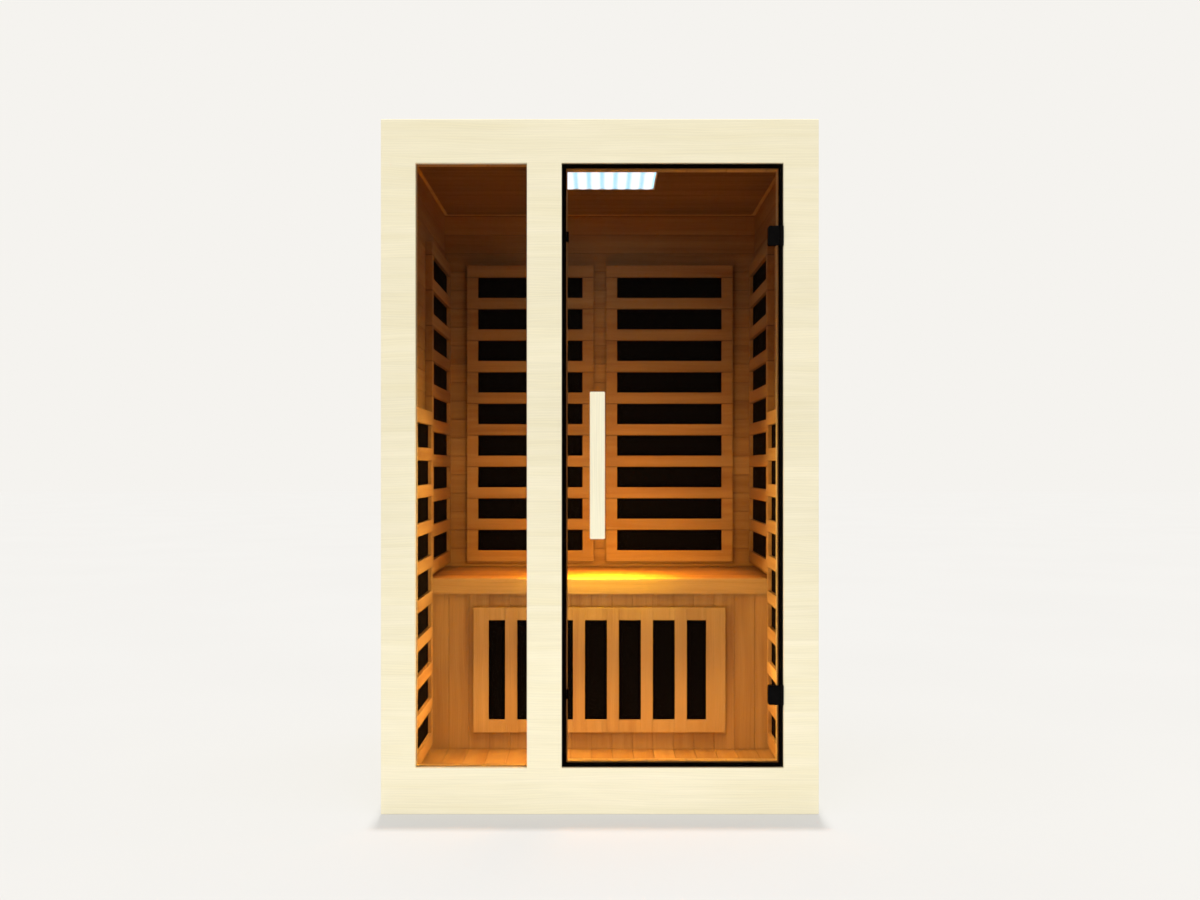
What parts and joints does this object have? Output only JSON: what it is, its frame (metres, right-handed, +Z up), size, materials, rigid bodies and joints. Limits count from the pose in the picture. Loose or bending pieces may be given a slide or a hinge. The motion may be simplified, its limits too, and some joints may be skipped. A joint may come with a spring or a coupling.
{
  "type": "infrared sauna cabin",
  "caption": "Timber cabin with a glass door and window, slatted guards over infrared heater panels on its walls, a bench across the back and a light panel in the ceiling.",
  "frame": {"origin": "on the floor, under the middle of the whole cabin including its outer handle", "axes": "+Z up, front and door towards -Y, door hinges on the +X side"},
  "size_m": [1.2, 1.085, 1.905],
  "materials": {
    "pale_wood": "planed, unvarnished pale softwood",
    "warm_wood": "planed tongue-and-groove boards",
    "plain_wood": "sawn battens and plywood",
    "bronze_glass": "clear bronze-tinted toughened glass",
    "rubber": "matt black",
    "black_metal": "satin black",
    "steel": "plain",
    "heater_face": "matt black carbon laminate",
    "white_plastic": "satin white",
    "diffuser": "opal, lit from behind",
    "black_plastic": "satin black"
  },
  "bodies": {
    "cabin": {"floor_base": "plain_wood", "floor_deck": "warm_wood", "left_wall_cladding": "pale_wood", "left_wall_battens": "plain_wood", "left_wall_lining": "warm_wood", "right_wall_cladding": "pale_wood", "right_wall_battens": "plain_wood", "right_wall_lining": "warm_wood", "back_wall_cladding": "pale_wood", "back_wall_battens": "plain_wood", "back_wall_lining": "warm_wood", "ceiling_lining": "warm_wood", "roof_frame": "plain_wood", "roof_cover": "pale_wood", "power_box": "black_plastic", "mains_inlet": "black_plastic", "front_facing": "pale_wood", "front_frame": "pale_wood", "window_glass": "bronze_glass", "window_bead": "pale_wood", "door_gasket": "rubber", "upper_magnet_catch": "black_plastic", "lower_magnet_catch": "black_plastic", "upper_hinge_leaf": "black_metal", "lower_hinge_leaf": "black_metal", "upper_hinge_pin": "black_metal", "lower_hinge_pin": "black_metal", "back_left_heater": "heater_face", "back_left_guard": "warm_wood", "back_right_heater": "heater_face", "back_right_guard": "warm_wood", "left_rear_heater": "heater_face", "left_rear_guard": "warm_wood", "left_front_heater": "heater_face", "left_front_guard": "warm_wood", "right_rear_heater": "heater_face", "right_rear_guard": "warm_wood", "right_front_heater": "heater_face", "right_front_guard": "warm_wood", "bench_heater": "heater_face", "bench_guard": "warm_wood", "bench_seat": "warm_wood", "bench_fascia": "warm_wood", "bench_kick_panel": "warm_wood", "bench_back_cleat": "plain_wood", "bench_left_cleat": "plain_wood", "bench_right_cleat": "plain_wood", "bench_bearer": "plain_wood", "light_housing": "white_plastic", "light_diffuser": "diffuser", "control_panel": "black_plastic"},
    "door": {"door_glass": "bronze_glass", "outer_handle": "pale_wood", "inner_handle": "pale_wood", "upper_handle_bolt": "steel", "lower_handle_bolt": "steel", "upper_strike_plate": "black_metal", "lower_strike_plate": "black_metal", "upper_hinge_clamp": "black_metal", "lower_hinge_clamp": "black_metal"}
  },
  "joints": [
    {"name": "door_swing", "type": "hinge", "parent": "cabin", "child": "door", "pos_m": [0.4975, -0.4995, 0.956], "axis": [0, 0, 1], "range_deg": [0, 110]}
  ]
}
